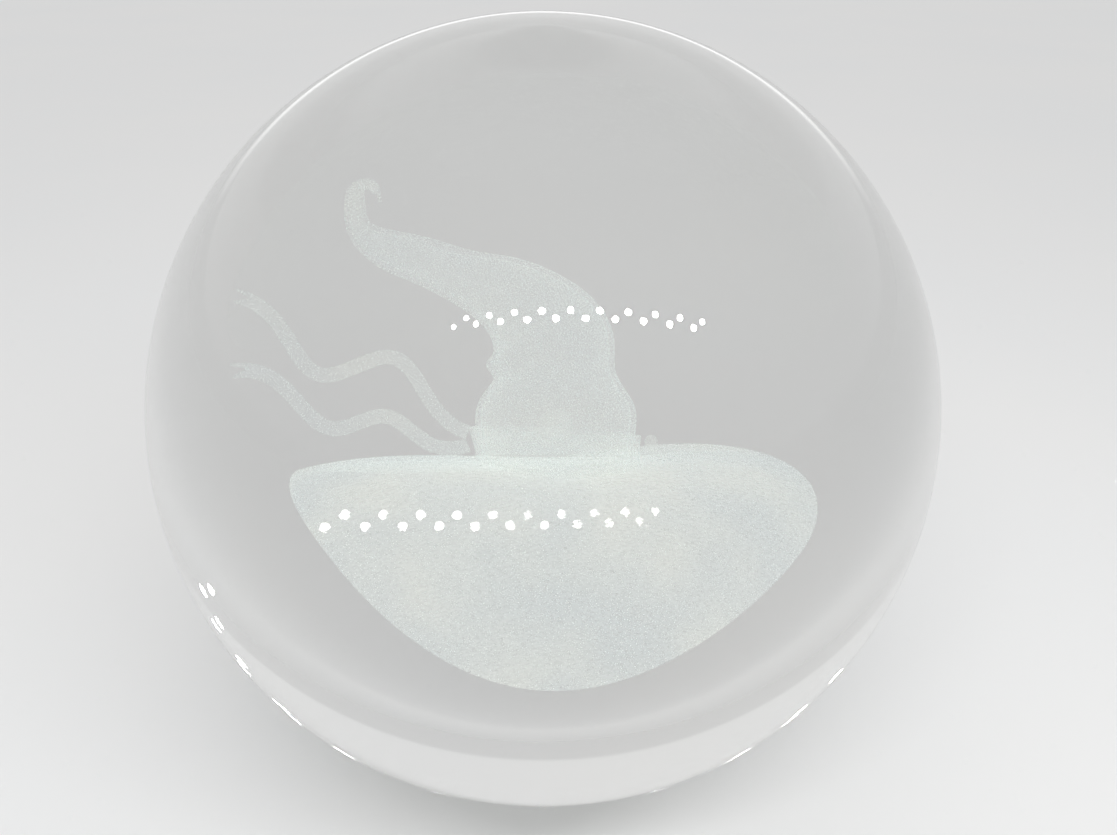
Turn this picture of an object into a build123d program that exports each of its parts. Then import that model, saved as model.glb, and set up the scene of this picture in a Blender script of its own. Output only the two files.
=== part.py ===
from build123d import *
import os
from math import cos, radians, sin, sqrt, tan

# A solid glass ball, ground flat underneath so that it stands, with a pointed hat
# engraved inside it. The hat is a set of thin curved layers, each a separate solid,
# and the glass has a matching cavity for every one of them.
# Millimetres, +Z up. The origin is the centre of the flat base.
# The hat is laid out about the ball's centre and lifted into the ball at the end.

# Glass ball
BALL_RADIUS = 40.0
BASE_RADIUS = 10.0        # ground flat underneath
ARRIS_WIDTH = 0.5         # seamed edge round the flat
ARRIS_HEIGHT = 0.12
CENTRE_HEIGHT = sqrt(BALL_RADIUS**2 - BASE_RADIUS**2)

# Hat: where its crown stands, and how far it leans back
FOOT_X = 1.0
FOOT_Z = -3.8
LEAN = 14.0               # degrees, towards +Y
DEPTH_RATIO = 0.8         # the crown is oval: its depth is less than its width
FOOT_HALF_WIDTH = 5.6
LAYER = 0.4               # thickness of every engraved layer
CLEARANCE = 0.2           # clear glass between neighbouring layers

# Crown, from its foot to the curled tip: x and z of the axis, and the half width there
CROWN_STATIONS = [
    (1.0, -5.6, 5.45),    # the brim trims the foot
    (1.0, -4.4, 5.45),
    (1.0, -2.8, 5.5),     # inside the band
    (0.9, -1.2, 5.75),
    (0.8, 0.3, 5.3),
    (0.8, 2.0, 4.35),     # waist
    (0.5, 3.6, 4.65),     # shoulder
    (0.1, 4.9, 4.4),
    (-1.0, 6.4, 3.6),
    (-2.9, 7.8, 2.8),     # the crown falls to one side
    (-5.6, 8.9, 2.05),
    (-8.8, 10.1, 1.7),
    (-11.6, 11.1, 1.25),
    (-12.8, 12.3, 0.85),  # start of the curl
    (-13.0, 13.7, 0.7),
    (-12.8, 14.9, 0.5),
    (-12.2, 15.2, 0.4),
    (-11.5, 14.7, 0.3),
    (-11.3, 14.0, 0.15),
]
THINNEST_SHARE = 0.35     # towards the tip the wall thins to this share of the half width

# Brim: an oval sheet that tips back and droops, most of all in front and behind
BRIM_HEIGHT = -4.53       # at the ball's axis
BRIM_CENTRE_X = 0.6
BRIM_HALF_WIDTH = 18.0
BRIM_HALF_DEPTH = 18.2
BRIM_GRID_REACH = 20.0
BRIM_GRID_STEPS = 8

# Band round the foot of the crown: height of its top edge, and how that tips back and rolls
BAND_TOP = -1.9
BAND_TIP = -28.0          # degrees about X
BAND_ROLL = 3.0           # degrees about Y
BAND_LAYER = 0.25
BAND_STATIONS = 7         # the crown stations that shape it

# Knots: centre and half sizes
FRONT_KNOT_HEIGHT = 3.9
FRONT_KNOT_HALF = (1.1, 0.35, 1.2)
SIDE_KNOT_CENTRE = (7.7, 0.2, -2.9)
SIDE_KNOT_HALF = (0.45, 0.5, 0.6)

# Ribbon ends that fly from the band: x and z along the middle of each
RIBBON_WIDTH = 0.95
RIBBON_NOTCH = 1.1
UPPER_RIBBON = [(-5.4, -2.2), (-7.7, -0.4), (-10.7, 3.2), (-15.5, 1.9), (-17.9, 4.9), (-21.0, 7.3)]
LOWER_RIBBON = [(-5.4, -3.1), (-8.7, -2.6), (-11.2, -1.0), (-14.5, -1.9), (-18.2, 1.3), (-21.2, 2.1)]


def lean_back(z):
    """How far back a point of the hat's middle plane stands at height z."""
    return tan(radians(LEAN)) * (z - FOOT_Z)


def brim_height(x, y):
    """Height of the brim's middle surface: it tips back, droops all round and twists a little."""
    slope = -0.034 * x - 0.414 * y
    droop = -0.0275 * y**2 + 0.00102 * y**3 - 0.000024 * x**4
    lift = 0.00077 * x**2 * y - 0.000012 * x**2 * y**2
    twist = 0.0037 * x * y + 0.00033 * x * y**2
    return BRIM_HEIGHT + slope + droop + lift + twist


def foot_plane(height=0.0):
    """The crown's leaning cross-section plane, at a height along its axis."""
    up = Vector(0, sin(radians(LEAN)), cos(radians(LEAN)))
    return Plane(origin=Vector(FOOT_X, 0, FOOT_Z) + up * height, x_dir=(1, 0, 0), z_dir=up)


def crown_solid(stations, outset=0.0):
    """The crown's shape, lofted through oval sections square to its bent axis."""
    axis = [Vector(x, lean_back(z), z) for x, z, _ in stations]
    sections = []
    for i, (_, _, half_width) in enumerate(stations):
        ahead = axis[min(i + 1, len(axis) - 1)]
        behind = axis[max(i - 1, 0)]
        along = (ahead - behind).normalized()
        plane = Plane(origin=axis[i], x_dir=Vector(0, 1, 0).cross(along), z_dir=along)
        half_depth = half_width * DEPTH_RATIO + outset
        sections.append(Wire([Edge.make_ellipse(half_width + outset, half_depth, plane)]))
    return Solid.make_loft(sections)


def brim_face(raised):
    """The brim's middle surface, raised by this much and wider than the brim."""
    step = 2 * BRIM_GRID_REACH / BRIM_GRID_STEPS
    places = [i * step - BRIM_GRID_REACH for i in range(BRIM_GRID_STEPS + 1)]
    grid = [[(x, y, brim_height(x, y) + raised) for y in places] for x in places]
    return Face.make_surface_from_array_of_points(grid)


def below_brim():
    """Everything lower than a clearance above the brim."""
    return extrude(brim_face(LAYER / 2 + CLEARANCE), amount=BALL_RADIUS, dir=(0, 0, -1))


def hat_crown():
    """Thin bent cone, closed at its tip and open where it stands on the brim."""
    hollow = []
    for x, z, half_width in CROWN_STATIONS[:-1]:
        wall = min(LAYER, half_width * THINNEST_SHARE)
        hollow.append((x, z, half_width - wall))
    x, z, half_width = hollow[0]
    hollow[0] = (x, z - 1.0, half_width)
    return crown_solid(CROWN_STATIONS) - crown_solid(hollow) - below_brim()


def hat_brim():
    """Thin curved sheet with an oval edge, which runs on under the crown."""
    sheet = extrude(brim_face(-LAYER / 2), amount=LAYER, dir=(0, 0, 1))
    edge = Pos(BRIM_CENTRE_X, 0, 0) * Ellipse(BRIM_HALF_WIDTH, BRIM_HALF_DEPTH)
    outline = extrude(edge, amount=BALL_RADIUS, both=True)
    return sheet & outline


def hat_band():
    """Thin band that follows the crown and stands on the brim."""
    inner = CLEARANCE
    outer = CLEARANCE + BAND_LAYER
    foot = CROWN_STATIONS[:BAND_STATIONS]
    x, z, half_width = foot[0]
    below = [(x, z - 2.0, half_width), (x, z - 1.0, half_width)]
    shell = crown_solid(foot, outer) - crown_solid(below + foot[1:], inner)
    top = Plane(origin=(FOOT_X, 0, BAND_TOP)).rotated((BAND_TIP, BAND_ROLL, 0))
    below_top = extrude(top * Circle(BALL_RADIUS), amount=-BALL_RADIUS)
    return (shell & below_top) - below_brim()


def knot(centre, half):
    """Small rounded lump, wider than it is thick."""
    return Pos(*centre) * scale(Sphere(1.0), by=half)


def front_knot_centre():
    """Just in front of the band's outer face, near its top edge."""
    plane = foot_plane(FRONT_KNOT_HEIGHT)
    band_front = FOOT_HALF_WIDTH * DEPTH_RATIO + CLEARANCE + BAND_LAYER
    reach = band_front + CLEARANCE + FRONT_KNOT_HALF[1]
    centre = plane.origin - plane.y_dir * reach
    return (centre.X, centre.Y, centre.Z)


def ribbon(points):
    """Wavy strip with a swallowtail end, in the hat's leaning middle plane."""
    lean = radians(LEAN)
    plane = Plane(origin=(0, 0, FOOT_Z), x_dir=(1, 0, 0), z_dir=(0, -cos(lean), sin(lean)))
    middle = Spline(*[(x, (z - FOOT_Z) / cos(lean)) for x, z in points])
    strip = trace(middle, line_width=RIBBON_WIDTH)
    tail = middle @ 1
    inward = middle % 1 * -RIBBON_NOTCH
    across = Vector(-inward.Y, inward.X).normalized() * RIBBON_WIDTH * 0.5
    outward = inward * -0.1
    notch = make_face(Polyline(tail + inward, tail + across + outward, tail - across + outward, close=True))
    return extrude(plane * (strip - notch), amount=LAYER / 2, both=True)


def clear_ball():
    """The ball before it is engraved, about its own centre."""
    rim = BASE_RADIUS - ARRIS_WIDTH / 2
    seam = sqrt(BALL_RADIUS**2 - (CENTRE_HEIGHT - ARRIS_HEIGHT) ** 2)
    top = (0, 0, BALL_RADIUS)
    flat = (0, 0, -CENTRE_HEIGHT)
    below = Polyline(top, flat, (rim, 0, -CENTRE_HEIGHT), (seam, 0, ARRIS_HEIGHT - CENTRE_HEIGHT))
    side = ThreePointArc((seam, 0, ARRIS_HEIGHT - CENTRE_HEIGHT), (BALL_RADIUS, 0, 0), top)
    return revolve(make_face(below + side), axis=Axis.Z)


engraving = {
    "hat_crown": hat_crown(),
    "hat_brim": hat_brim(),
    "hat_band": hat_band(),
    "front_knot": knot(front_knot_centre(), FRONT_KNOT_HALF),
    "side_knot": knot(SIDE_KNOT_CENTRE, SIDE_KNOT_HALF),
    "upper_ribbon": ribbon(UPPER_RIBBON),
    "lower_ribbon": ribbon(LOWER_RIBBON),
}

glass_ball = clear_ball()
for layer in engraving.values():
    glass_ball -= layer

os.makedirs("parts", exist_ok=True)
stand_on_base = Location((0, 0, CENTRE_HEIGHT))
for node, shape in {"glass_ball": glass_ball, **engraving}.items():
    export_step(shape.moved(stand_on_base), f"parts/{node}.step")
    print(node, "valid" if shape.is_valid else "NOT VALID", round(shape.volume, 2))
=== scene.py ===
import math

import bpy
import numpy as np
from mathutils import Matrix, Vector


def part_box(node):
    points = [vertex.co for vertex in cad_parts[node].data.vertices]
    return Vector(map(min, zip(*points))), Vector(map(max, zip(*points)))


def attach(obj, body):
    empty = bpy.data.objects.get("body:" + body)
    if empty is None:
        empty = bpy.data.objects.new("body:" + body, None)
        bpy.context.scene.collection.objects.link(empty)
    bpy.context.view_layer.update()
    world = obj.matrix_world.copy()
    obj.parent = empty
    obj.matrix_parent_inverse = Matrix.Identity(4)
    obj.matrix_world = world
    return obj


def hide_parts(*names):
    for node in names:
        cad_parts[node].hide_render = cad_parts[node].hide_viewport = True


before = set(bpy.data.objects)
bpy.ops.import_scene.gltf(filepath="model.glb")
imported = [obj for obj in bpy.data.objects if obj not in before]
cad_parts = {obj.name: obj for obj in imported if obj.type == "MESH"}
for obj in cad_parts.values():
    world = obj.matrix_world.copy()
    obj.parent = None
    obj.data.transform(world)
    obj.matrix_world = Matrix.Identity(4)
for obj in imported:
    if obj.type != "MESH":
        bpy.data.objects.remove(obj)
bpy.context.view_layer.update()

# The ball's centre and radius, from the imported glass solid.
ball_low, ball_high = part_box("glass_ball")
RADIUS = (ball_high.x - ball_low.x) / 2
CENTRE = Vector((0.0, 0.0, ball_high.z - RADIUS))
BASE_RADIUS = math.sqrt(RADIUS**2 - CENTRE.z**2)

MM = 0.001


# ---------------------------------------------------------------- materials

def new_material(name):
    """An empty node material and its node tree."""
    material = bpy.data.materials.new(name)
    material.use_nodes = True
    material.node_tree.nodes.clear()
    return material, material.node_tree.nodes, material.node_tree.links


def noise(nodes, links, place, scale, detail):
    """A noise texture read in millimetres."""
    texture = nodes.new("ShaderNodeTexNoise")
    texture.inputs["Scale"].default_value = scale
    texture.inputs["Detail"].default_value = detail
    links.new(place, texture.inputs["Vector"])
    return texture.outputs["Fac"]


def remap(nodes, links, value, source, target):
    """Map one range of values to another, and stop at its ends."""
    ramp = nodes.new("ShaderNodeMapRange")
    ramp.inputs["From Min"].default_value, ramp.inputs["From Max"].default_value = source
    ramp.inputs["To Min"].default_value, ramp.inputs["To Max"].default_value = target
    links.new(value, ramp.inputs["Value"])
    return ramp.outputs["Result"]


def multiply(nodes, links, first, second):
    """The product of two values."""
    product = nodes.new("ShaderNodeMath")
    product.operation = "MULTIPLY"
    links.new(first, product.inputs[0])
    links.new(second, product.inputs[1])
    return product.outputs[0]


def millimetres(nodes, links, stretch=(1.0, 1.0, 1.0), turn=(0.0, 0.0, 0.0)):
    """Object coordinates in millimetres, turned and stretched."""
    place = nodes.new("ShaderNodeTexCoord")
    mapping = nodes.new("ShaderNodeMapping")
    mapping.inputs["Scale"].default_value = [1000.0 * s for s in stretch]
    mapping.inputs["Rotation"].default_value = turn
    links.new(place.outputs["Object"], mapping.inputs["Vector"])
    return mapping.outputs["Vector"]


def two_tints(nodes, links, value, cool, warm):
    """A colour that drifts between two tints."""
    mix = nodes.new("ShaderNodeMix")
    mix.data_type = "RGBA"
    colours = [socket for socket in mix.inputs if socket.type == "RGBA"]
    colours[0].default_value = cool
    colours[1].default_value = warm
    links.new(value, mix.inputs["Factor"])
    return next(socket for socket in mix.outputs if socket.type == "RGBA")


# Ranges that noise values are read over.
NOISE_MIDDLE = (0.35, 0.65)
NOISE_BROAD = (0.3, 0.7)
SPECK_RANGE = (0.36, 0.56)
FULL_RANGE = (0.0, 1.0)

# The engraving's two whites, and the roughness and sheen of its cracks.
COOL_WHITE = (0.92, 0.99, 0.99, 1.0)
WARM_WHITE = (0.97, 1.0, 0.95, 1.0)
CRACK_ROUGHNESS = 0.8
CRACK_SPECULAR = 0.1
# The dots' glow is painted light: an emission in place of the lamp light that the glass keeps from the
# cracks.
DOT_PAINTED_GLOW = 0.28
DOT_TINT_SCALE = 1.8

# Film: its grain is stretched along a slant, and its patches vary in density.
GRAIN_STRETCH = (0.45, 1.0, 1.0)
GRAIN_TURN = (0.0, 0.0, math.radians(-35))
GRAIN_SCALE = 5.5
CLOUD_SCALE = 0.16
THINNEST_PATCH, DENSEST_PATCH = 0.85, 1.15
# The haze absorbs and glows with painted light rather than scattering the lamps' light.
HAZE_DENSITY = 45.0
HAZE_PAINTED_GLOW = 0.9
NO_COLOUR = (0.0, 0.0, 0.0, 1.0)

# Glass: a faint grey, given here.
# The grey is painted shade: it darkens all that is seen through the ball, in place of the shaded paper
# behind it.
GLASS_COOL = (0.840, 0.846, 0.846, 1.0)
GLASS_WARM = (0.858, 0.858, 0.846, 1.0)
GLASS_IOR = 1.52
GLASS_TINT_SCALE = 0.03


def engraved_film(name, density, speck_depth, glow):
    """Milky layer of micro-cracks too fine to see, with dark specks where they are sparse; its surface and
    haze glow with painted light in place of the lamp light the glass keeps from them.
    """
    material, nodes, links = new_material(name)
    output = nodes.new("ShaderNodeOutputMaterial")
    cracks = nodes.new("ShaderNodeBsdfPrincipled")
    even = millimetres(nodes, links)
    slanted = millimetres(nodes, links, stretch=GRAIN_STRETCH, turn=GRAIN_TURN)
    specks = noise(nodes, links, slanted, GRAIN_SCALE, 2.0)
    grain = remap(nodes, links, specks, SPECK_RANGE, (1 - speck_depth, 1.0))
    clouds = noise(nodes, links, even, CLOUD_SCALE, 1.0)
    densities = (density * THINNEST_PATCH, density * DENSEST_PATCH)
    patches = remap(nodes, links, clouds, NOISE_MIDDLE, densities)
    links.new(multiply(nodes, links, grain, patches), cracks.inputs["Alpha"])
    drift = remap(nodes, links, clouds, NOISE_BROAD, FULL_RANGE)
    tint = two_tints(nodes, links, drift, COOL_WHITE, WARM_WHITE)
    links.new(tint, cracks.inputs["Base Color"])
    links.new(tint, cracks.inputs["Emission Color"])
    # Painted light: the film glows in place of lamp light that the glass keeps from it.
    cracks.inputs["Emission Strength"].default_value = glow
    cracks.inputs["Roughness"].default_value = CRACK_ROUGHNESS
    cracks.inputs["Specular IOR Level"].default_value = CRACK_SPECULAR
    links.new(cracks.outputs["BSDF"], output.inputs["Surface"])
    # Haze that absorbs and glows evenly with painted light.
    haze = nodes.new("ShaderNodeVolumePrincipled")
    haze.inputs["Density"].default_value = HAZE_DENSITY
    haze.inputs["Color"].default_value = NO_COLOUR
    haze.inputs["Emission Color"].default_value = COOL_WHITE
    haze.inputs["Emission Strength"].default_value = HAZE_DENSITY * HAZE_PAINTED_GLOW
    links.new(haze.outputs["Volume"], output.inputs["Volume"])
    return material


def engraved_dots(name):
    """White micro-cracks, glowing with painted light in place of the lamp light that the glass keeps from
    them.
    """
    material, nodes, links = new_material(name)
    output = nodes.new("ShaderNodeOutputMaterial")
    cracks = nodes.new("ShaderNodeBsdfPrincipled")
    place = millimetres(nodes, links)
    drift = remap(nodes, links, noise(nodes, links, place, DOT_TINT_SCALE, 2.0), NOISE_MIDDLE, FULL_RANGE)
    tint = two_tints(nodes, links, drift, COOL_WHITE, WARM_WHITE)
    links.new(tint, cracks.inputs["Base Color"])
    links.new(tint, cracks.inputs["Emission Color"])
    # Painted light: the cracks glow in place of lamp light that cannot reach them through the glass.
    cracks.inputs["Emission Strength"].default_value = DOT_PAINTED_GLOW
    cracks.inputs["Roughness"].default_value = CRACK_ROUGHNESS
    cracks.inputs["Specular IOR Level"].default_value = CRACK_SPECULAR
    links.new(cracks.outputs["BSDF"], output.inputs["Surface"])
    return material


def clear_glass():
    """Polished optical glass with the faintest unevenness of tint, greyed as painted shade."""
    material, nodes, links = new_material("clear_glass")
    output = nodes.new("ShaderNodeOutputMaterial")
    glass = nodes.new("ShaderNodeBsdfPrincipled")
    place = millimetres(nodes, links)
    drift = remap(nodes, links, noise(nodes, links, place, GLASS_TINT_SCALE, 1.0), NOISE_BROAD, FULL_RANGE)
    # Painted shade: the grey tint darkens everything seen through the ball.
    links.new(two_tints(nodes, links, drift, GLASS_COOL, GLASS_WARM), glass.inputs["Base Color"])
    glass.inputs["Roughness"].default_value = 0.0
    glass.inputs["IOR"].default_value = GLASS_IOR
    glass.inputs["Transmission Weight"].default_value = 1.0
    links.new(glass.outputs["BSDF"], output.inputs["Surface"])
    return material


# ---------------------------------------------------------------- glass ball

BALL_SEGMENTS = 288
BALL_RINGS = 150
ARRIS_HEIGHT = 0.12 * MM
ARRIS_WIDTH = 0.5 * MM


def build_ball():
    """Polished sphere with a ground flat and a seamed edge underneath."""
    seam = math.sqrt(RADIUS**2 - (CENTRE.z - ARRIS_HEIGHT) ** 2)
    first = math.atan2(ARRIS_HEIGHT - CENTRE.z, seam)
    profile = [(BASE_RADIUS - ARRIS_WIDTH / 2, 0.0)]
    for i in range(BALL_RINGS):
        angle = first + (math.pi / 2 - first) * i / BALL_RINGS
        profile.append((RADIUS * math.cos(angle), CENTRE.z + RADIUS * math.sin(angle)))
    points = [(0.0, 0.0, 0.0)]
    for across, up in profile:
        for k in range(BALL_SEGMENTS):
            turn = 2 * math.pi * k / BALL_SEGMENTS
            points.append((across * math.cos(turn), across * math.sin(turn), up))
    points.append((0.0, 0.0, CENTRE.z + RADIUS))
    top = len(points) - 1
    faces = []
    for k in range(BALL_SEGMENTS):
        after = (k + 1) % BALL_SEGMENTS
        faces.append((0, 1 + after, 1 + k))
        for ring in range(len(profile) - 1):
            row = 1 + ring * BALL_SEGMENTS
            faces.append((row + k, row + after, row + BALL_SEGMENTS + after, row + BALL_SEGMENTS + k))
        last = 1 + (len(profile) - 1) * BALL_SEGMENTS
        faces.append((last + k, last + after, top))
    mesh = bpy.data.meshes.new("clear_ball")
    mesh.from_pydata(points, [], faces)
    mesh.shade_smooth()
    sharp = mesh.attributes.new("sharp_edge", "BOOLEAN", "EDGE")
    flags = np.zeros(len(mesh.edges), bool)
    rims = set(range(1, 1 + 2 * BALL_SEGMENTS))
    for i, edge in enumerate(mesh.edges):
        a, b = edge.vertices
        if a in rims and b in rims and abs(points[a][2] - points[b][2]) < 1e-9:
            flags[i] = True
    sharp.data.foreach_set("value", flags)
    ball = bpy.data.objects.new("clear_ball", mesh)
    bpy.context.scene.collection.objects.link(ball)
    mesh.materials.append(clear_glass())
    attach(ball, "root")
    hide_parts("glass_ball")
    return ball


# ---------------------------------------------------------------- engraving

DOT = np.array([(1, 1, 1), (1, -1, -1), (-1, 1, -1), (-1, -1, 1)], float) / math.sqrt(3)
DOT_FACES = np.array([(0, 2, 1), (0, 1, 3), (0, 3, 2), (1, 2, 3)])
SMALLEST_DOT, LARGEST_DOT = 0.7, 1.3     # shares of a layer's dot radius


def surface_points(node, count, rng):
    """Random points spread evenly over a CAD node's surface."""
    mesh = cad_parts[node].data
    mesh.calc_loop_triangles()
    co = np.empty(len(mesh.vertices) * 3)
    mesh.vertices.foreach_get("co", co)
    co = co.reshape(-1, 3)
    tris = np.empty(len(mesh.loop_triangles) * 3, int)
    mesh.loop_triangles.foreach_get("vertices", tris)
    corner = co[tris.reshape(-1, 3)]
    area = np.linalg.norm(np.cross(corner[:, 1] - corner[:, 0], corner[:, 2] - corner[:, 0]), axis=1)
    chosen = rng.choice(len(area), size=count, p=area / area.sum())
    u, v = rng.random((2, count))
    flip = u + v > 1
    u[flip], v[flip] = 1 - u[flip], 1 - v[flip]
    a, b, c = corner[chosen, 0], corner[chosen, 1], corner[chosen, 2]
    return a + u[:, None] * (b - a) + v[:, None] * (c - a)


def random_turns(count, rng):
    """Random rotation matrices."""
    q = rng.normal(size=(count, 4))
    w, x, y, z = (q / np.linalg.norm(q, axis=1)[:, None]).T
    return np.stack([
        np.stack([1 - 2 * (y * y + z * z), 2 * (x * y - z * w), 2 * (x * z + y * w)], -1),
        np.stack([2 * (x * y + z * w), 1 - 2 * (x * x + z * z), 2 * (y * z - x * w)], -1),
        np.stack([2 * (x * z - y * w), 2 * (y * z + x * w), 1 - 2 * (x * x + y * y)], -1),
    ], 1)


def build_dots(node, count, size, material, seed):
    """Tiny tetrahedra, turned at random, spread over a layer as one piece."""
    rng = np.random.default_rng(seed)
    places = surface_points(node, count, rng)
    sizes = size * (SMALLEST_DOT + (LARGEST_DOT - SMALLEST_DOT) * rng.random(count))
    corners = np.einsum("nij,kj->nki", random_turns(count, rng), DOT) * sizes[:, None, None]
    points = (places[:, None, :] + corners).reshape(-1, 3)
    faces = (DOT_FACES[None] + 4 * np.arange(count)[:, None, None]).reshape(-1, 3)
    mesh = bpy.data.meshes.new(node + "_dots")
    mesh.vertices.add(len(points))
    mesh.vertices.foreach_set("co", points.ravel())
    mesh.loops.add(faces.size)
    mesh.loops.foreach_set("vertex_index", faces.ravel())
    mesh.polygons.add(len(faces))
    mesh.polygons.foreach_set("loop_start", np.arange(0, faces.size, 3))
    mesh.update(calc_edges=True)
    mesh.materials.append(material)
    dots = bpy.data.objects.new(node + "_dots", mesh)
    bpy.context.scene.collection.objects.link(dots)
    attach(dots, "root")
    return dots


# For each engraved layer: number of dots, dot radius in mm, and its film's density, speck depth and glow;
# the glow is painted light, in place of lamp light the glass keeps from the film.
ENGRAVED = {
    "hat_crown": (46000, 0.028, 0.09, 0.35, 0.20),
    "hat_brim": (48000, 0.034, 0.36, 0.35, 0.29),
    "hat_band": (9000, 0.028, 0.05, 0.3, 0.20),
    "front_knot": (300, 0.028, 0.12, 0.3, 0.20),
    "side_knot": (100, 0.028, 0.12, 0.3, 0.20),
    "upper_ribbon": (1500, 0.030, 0.18, 0.4, 0.20),
    "lower_ribbon": (1400, 0.030, 0.20, 0.4, 0.20),
}


def build_engraving():
    """Gives each CAD layer its film, and adds its dots."""
    white = engraved_dots("micro_cracks")
    for seed, (node, (count, size, density, speck_depth, glow)) in enumerate(ENGRAVED.items()):
        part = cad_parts[node]
        part.data.materials.clear()
        part.data.materials.append(engraved_film(node + "_film", density, speck_depth, glow))
        build_dots(node, count, size * MM, white, seed)


# ---------------------------------------------------------------- studio

PAPER_COOL = (0.815, 0.82, 0.822, 1.0)
PAPER_WARM = (0.828, 0.828, 0.825, 1.0)
PAPER_TINT_SCALE = 0.012
PAPER_ROUGHNESS = 0.9
PAPER_SPECULAR = 0.1
FLOOR_REACH = 3.0
FLOOR_GAP = 0.02 * MM     # keeps the floor clear of the flat base


def build_floor():
    """Plain pale paper."""
    mesh = bpy.data.meshes.new("floor")
    reach = FLOOR_REACH
    corners = [(-reach, -reach, 0), (reach, -reach, 0), (reach, reach, 0), (-reach, reach, 0)]
    mesh.from_pydata(corners, [], [(0, 1, 2, 3)])
    floor = bpy.data.objects.new("floor", mesh)
    floor.location.z = -FLOOR_GAP
    bpy.context.scene.collection.objects.link(floor)
    material, nodes, links = new_material("paper")
    output = nodes.new("ShaderNodeOutputMaterial")
    paper = nodes.new("ShaderNodeBsdfPrincipled")
    place = millimetres(nodes, links)
    drift = remap(nodes, links, noise(nodes, links, place, PAPER_TINT_SCALE, 2.0), NOISE_BROAD, FULL_RANGE)
    links.new(two_tints(nodes, links, drift, PAPER_COOL, PAPER_WARM), paper.inputs["Base Color"])
    paper.inputs["Roughness"].default_value = PAPER_ROUGHNESS
    paper.inputs["Specular IOR Level"].default_value = PAPER_SPECULAR
    links.new(paper.outputs["BSDF"], output.inputs["Surface"])
    mesh.materials.append(material)
    return floor


# Surroundings: strength below and above a soft horizon, by the sine of the direction's height.
HORIZON_LOW, HORIZON_HIGH = 0.075, 0.10
WORLD_LOW, WORLD_HIGH = 0.66, 0.82

# A low pale wall behind the ball, which shows only as a thin line where the glass mirrors it.
WALL_GLOW = 0.8
WALL_FOOT = (-0.01, 0.03)
WALL_TOP = (0.05, 0.10)
WALL_SIDES = (0.75, 0.92)


def build_world():
    """Even studio surroundings, with the wall added for mirrored rays alone."""
    world = bpy.data.worlds.new("studio")
    world.use_nodes = True
    nodes, links = world.node_tree.nodes, world.node_tree.links
    nodes.clear()
    output = nodes.new("ShaderNodeOutputWorld")
    sky = nodes.new("ShaderNodeBackground")
    sky.inputs["Color"].default_value = (1.0, 1.0, 1.0, 1.0)
    where = nodes.new("ShaderNodeTexCoord")
    parts = nodes.new("ShaderNodeSeparateXYZ")
    level = nodes.new("ShaderNodeMapRange")
    level.interpolation_type = "SMOOTHSTEP"
    level.inputs["From Min"].default_value = HORIZON_LOW
    level.inputs["From Max"].default_value = HORIZON_HIGH
    level.inputs["To Min"].default_value = WORLD_LOW
    level.inputs["To Max"].default_value = WORLD_HIGH
    links.new(where.outputs["Generated"], parts.inputs["Vector"])
    links.new(parts.outputs["Z"], level.inputs["Value"])
    low = remap(nodes, links, parts.outputs["Z"], WALL_FOOT, (0.0, WALL_GLOW))
    high = remap(nodes, links, parts.outputs["Z"], WALL_TOP, (1.0, 0.0))
    behind = remap(nodes, links, parts.outputs["Y"], WALL_SIDES, FULL_RANGE)
    path = nodes.new("ShaderNodeLightPath")
    wall = multiply(nodes, links, multiply(nodes, links, low, high), behind)
    outside = remap(nodes, links, path.outputs["Is Transmission Ray"], (0.0, 1.0), (1.0, 0.0))
    mirrored = multiply(nodes, links, path.outputs["Is Glossy Ray"], outside)
    glow = multiply(nodes, links, wall, mirrored)
    total = nodes.new("ShaderNodeMath")
    links.new(level.outputs["Result"], total.inputs[0])
    links.new(glow, total.inputs[1])
    links.new(total.outputs[0], sky.inputs["Strength"])
    links.new(sky.outputs["Background"], output.inputs["Surface"])
    bpy.context.scene.world = world


# A strip of small lamps in two staggered rows. It is placed from the ball's centre.
LAMPS = 20
LAMP_SIDES = 12
LAMP_RADIUS = 2.6 * MM
LAMP_RADIANCE = 150.0
STRIP_POWER = 0.17
STRIP_CENTRE = Vector((25.0, -118.0, 146.0)) * MM
LAMP_STEP = Vector((10.4, 1.5, -1.3)) * MM
ROW_OFFSET = Vector((0.2, 1.2, 3.5)) * MM


def lamp_material():
    """Bright lamp faces, seen only as reflections and refractions in the glass."""
    material, nodes, links = new_material("lamp")
    output = nodes.new("ShaderNodeOutputMaterial")
    lamp = nodes.new("ShaderNodeEmission")
    path = nodes.new("ShaderNodeLightPath")
    direct = nodes.new("ShaderNodeMath")
    direct.operation = "LESS_THAN"
    direct.inputs[1].default_value = 0.5
    power = nodes.new("ShaderNodeMath")
    power.operation = "MULTIPLY"
    power.inputs[1].default_value = LAMP_RADIANCE
    links.new(path.outputs["Diffuse Depth"], direct.inputs[0])
    links.new(direct.outputs[0], power.inputs[0])
    links.new(power.outputs[0], lamp.inputs["Strength"])
    links.new(lamp.outputs["Emission"], output.inputs["Surface"])
    return material


def strip_key():
    """The light that the lamp strip throws on the floor, as one long soft source."""
    light = bpy.data.lights.new("strip_key", "AREA")
    light.shape = "RECTANGLE"
    light.size = LAMP_STEP.length * LAMPS
    light.size_y = 3 * ROW_OFFSET.length
    light.energy = STRIP_POWER
    lamp = bpy.data.objects.new("strip_key", light)
    out = STRIP_CENTRE.normalized()
    along = LAMP_STEP.normalized()
    up = out.cross(along).normalized()
    facing = Matrix((along, up, along.cross(up))).transposed().to_4x4()
    lamp.matrix_world = Matrix.Translation(CENTRE + STRIP_CENTRE) @ facing
    lamp.visible_glossy = False
    lamp.visible_transmission = False
    bpy.context.scene.collection.objects.link(lamp)
    return lamp


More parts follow.
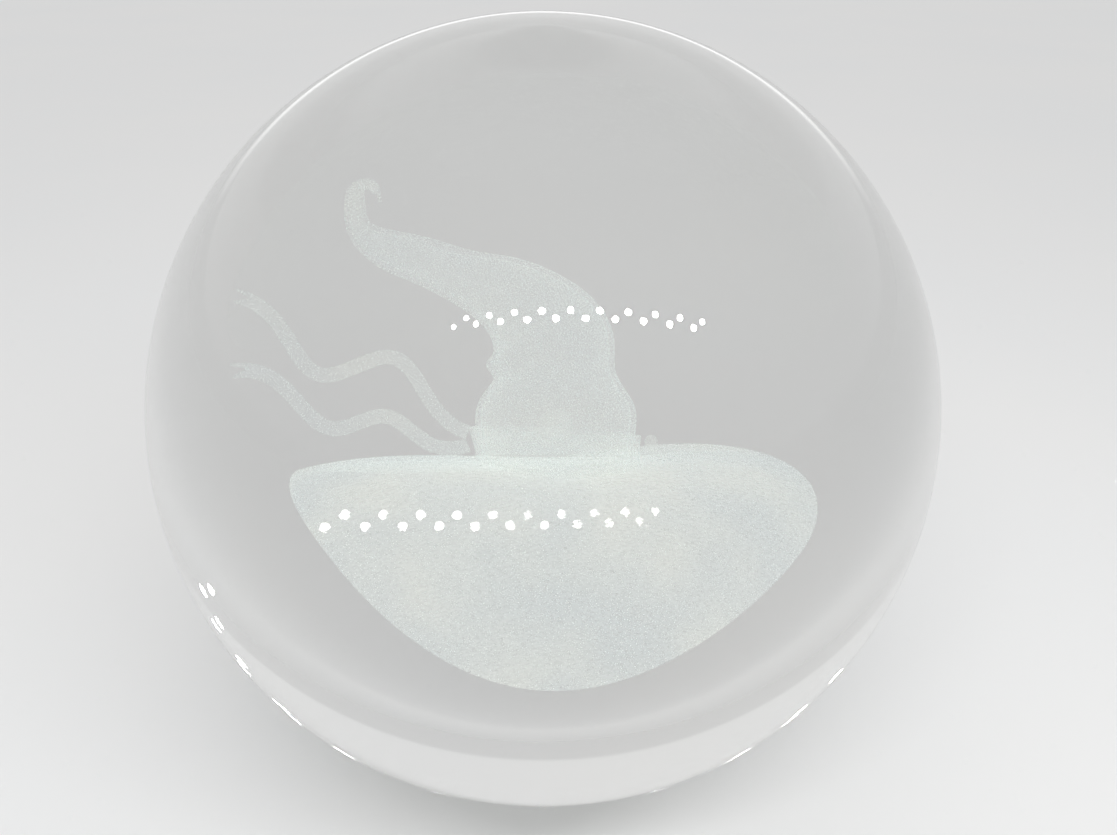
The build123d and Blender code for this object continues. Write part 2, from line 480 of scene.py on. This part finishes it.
def build_lamp_strip():
    """The lamps' round faces, above the viewer, each facing the ball."""
    points, faces = [], []
    sides = LAMP_SIDES
    along = LAMP_STEP.normalized()
    for i in range(LAMPS):
        row = ROW_OFFSET * (1 if i % 2 else -1)
        middle = CENTRE + STRIP_CENTRE + LAMP_STEP * (i - (LAMPS - 1) / 2) + row
        out = (middle - CENTRE).normalized()
        up = out.cross(along).normalized()
        first = len(points)
        for k in range(sides):
            turn = 2 * math.pi * k / sides
            points.append(middle + (along * math.cos(turn) + up * math.sin(turn)) * LAMP_RADIUS)
        faces.append(tuple(range(first, first + sides)))
    mesh = bpy.data.meshes.new("lamp_strip")
    mesh.from_pydata([tuple(p) for p in points], [], faces)
    strip = bpy.data.objects.new("lamp_strip", mesh)
    mesh.materials.append(lamp_material())
    bpy.context.scene.collection.objects.link(strip)
    strip.visible_camera = False
    strip.visible_diffuse = False
    strip.visible_shadow = False
    return strip


# ---------------------------------------------------------------- camera

# The ball's radius as a share of the frame's width sets the focal length.
ELEVATION = math.radians(30.0)
DISTANCE_IN_RADII = 2.6
SENSOR_WIDTH = 36.0
BALL_SHARE = 0.35685
SHIFT_X, SHIFT_Y = 0.0138, -0.0079
NEAREST_SEEN = 1 * MM


def build_camera():
    """Looks down at the ball's centre from the front."""
    distance = DISTANCE_IN_RADII * RADIUS
    data = bpy.data.cameras.new("camera")
    focal_share = BALL_SHARE * math.sqrt(DISTANCE_IN_RADII**2 - 1)
    data.sensor_width = SENSOR_WIDTH
    data.lens = SENSOR_WIDTH * focal_share
    data.shift_x = SHIFT_X
    data.shift_y = SHIFT_Y
    data.clip_start = NEAREST_SEEN
    camera = bpy.data.objects.new("camera", data)
    camera.location = CENTRE + distance * Vector((0, -math.cos(ELEVATION), math.sin(ELEVATION)))
    camera.rotation_euler = (math.pi / 2 - ELEVATION, 0, 0)
    bpy.context.scene.collection.objects.link(camera)
    bpy.context.scene.camera = camera


build_ball()
build_engraving()
build_floor()
build_world()
build_lamp_strip()
strip_key()
build_camera()

view = bpy.context.scene.view_settings
view.view_transform = "Standard"
bpy.context.scene.cycles.transparent_max_bounces = 24
bpy.context.scene.cycles.sample_clamp_indirect = 0.0
